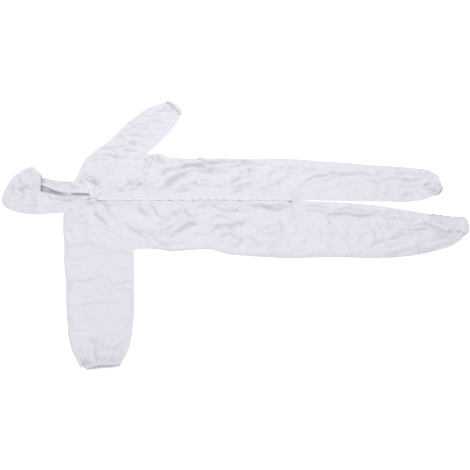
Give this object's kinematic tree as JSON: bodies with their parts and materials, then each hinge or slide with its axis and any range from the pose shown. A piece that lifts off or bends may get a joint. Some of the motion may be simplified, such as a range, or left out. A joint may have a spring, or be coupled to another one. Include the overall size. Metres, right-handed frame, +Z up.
{
  "type": "hooded beekeeping coverall",
  "caption": "Lightweight white one-piece hooded coverall lying flat on its back, with front zip, storm flap, gathered waist, and elastic face opening, cuffs and ankles.",
  "frame": {"origin": "centre of the laid suit's outline, on the floor", "axes": "+X towards the feet, -Y towards the wearer's right side, +Z up out of the suit's front"},
  "size_m": [1.93, 1.7389, 0.062],
  "materials": {
    "suit_cloth": "thin calendered polyester with a faint woven stripe, slightly glossy",
    "elastic": "matte knitted elastic",
    "zip_tape": "matte woven tape",
    "zip_coil": "white nylon coil",
    "zip_metal": "white enamelled zinc"
  },
  "bodies": {
    "torso": {"bodice_front_right": "suit_cloth", "bodice_front_left": "suit_cloth", "bodice_back": "suit_cloth", "seat_front_right": "suit_cloth", "seat_front_left": "suit_cloth", "seat_back_right": "suit_cloth", "seat_back_left": "suit_cloth", "waist_elastic": "elastic", "zip_tape_right": "zip_tape", "zip_tape_left": "zip_tape", "zip_coil_right": "zip_coil", "zip_coil_left": "zip_coil", "zip_top_stops": "zip_metal", "zip_bottom_stop": "zip_metal", "flap_seam_strip": "suit_cloth"},
    "zip_slider": {"zip_slider": "zip_metal"},
    "zip_pull": {"zip_pull_tab": "zip_metal"},
    "storm_flap": {"storm_flap": "suit_cloth"},
    "right_sleeve": {"right_sleeve_front": "suit_cloth", "right_sleeve_back": "suit_cloth", "right_cuff_elastic": "elastic"},
    "left_sleeve": {"left_sleeve_front": "suit_cloth", "left_sleeve_back": "suit_cloth", "left_cuff_elastic": "elastic"},
    "right_leg": {"right_leg_front": "suit_cloth", "right_leg_back": "suit_cloth", "right_ankle_elastic": "elastic"},
    "left_leg": {"left_leg_front": "suit_cloth", "left_leg_back": "suit_cloth", "left_ankle_elastic": "elastic"},
    "hood": {"hood_right_panel": "suit_cloth", "hood_left_panel": "suit_cloth", "hood_crown_panel": "suit_cloth", "hood_face_elastic": "elastic"}
  },
  "joints": [
    {"name": "hood_fold", "type": "hinge", "parent": "torso", "child": "hood", "pos_m": [-0.7, 0.044, 0.024], "axis": [0, 1, 0], "range_deg": [0, 120]},
    {"name": "right_sleeve_swing", "type": "hinge", "parent": "torso", "child": "right_sleeve", "pos_m": [-0.512, -0.3, 0.012], "axis": [0, 0, 1], "range_deg": [-25, 30]},
    {"name": "left_sleeve_swing", "type": "hinge", "parent": "torso", "child": "left_sleeve", "pos_m": [-0.545, 0.34, 0.012], "axis": [0, 0, 1], "range_deg": [-12, 43]},
    {"name": "right_leg_swing", "type": "hinge", "parent": "torso", "child": "right_leg", "pos_m": [0.285, -0.158, 0.012], "axis": [0, 0, 1], "range_deg": [-14, 0]},
    {"name": "left_leg_swing", "type": "hinge", "parent": "torso", "child": "left_leg", "pos_m": [0.285, 0.172, 0.012], "axis": [0, 0, 1], "range_deg": [0, 18]},
    {"name": "storm_flap_open", "type": "hinge", "parent": "torso", "child": "storm_flap", "pos_m": [-0.17, 0.032, 0.029], "axis": [-1, 0, 0], "range_deg": [0, 150]},
    {"name": "zip_slide", "type": "slide", "parent": "torso", "child": "zip_slider", "axis": [1, 0, 0], "range_m": [0, 0.795]},
    {"name": "zip_pull_tilt", "type": "hinge", "parent": "zip_slider", "child": "zip_pull", "pos_m": [-0.579, 0.01, 0.0266], "axis": [0, 1, 0], "range_deg": [0, 120]}
  ]
}
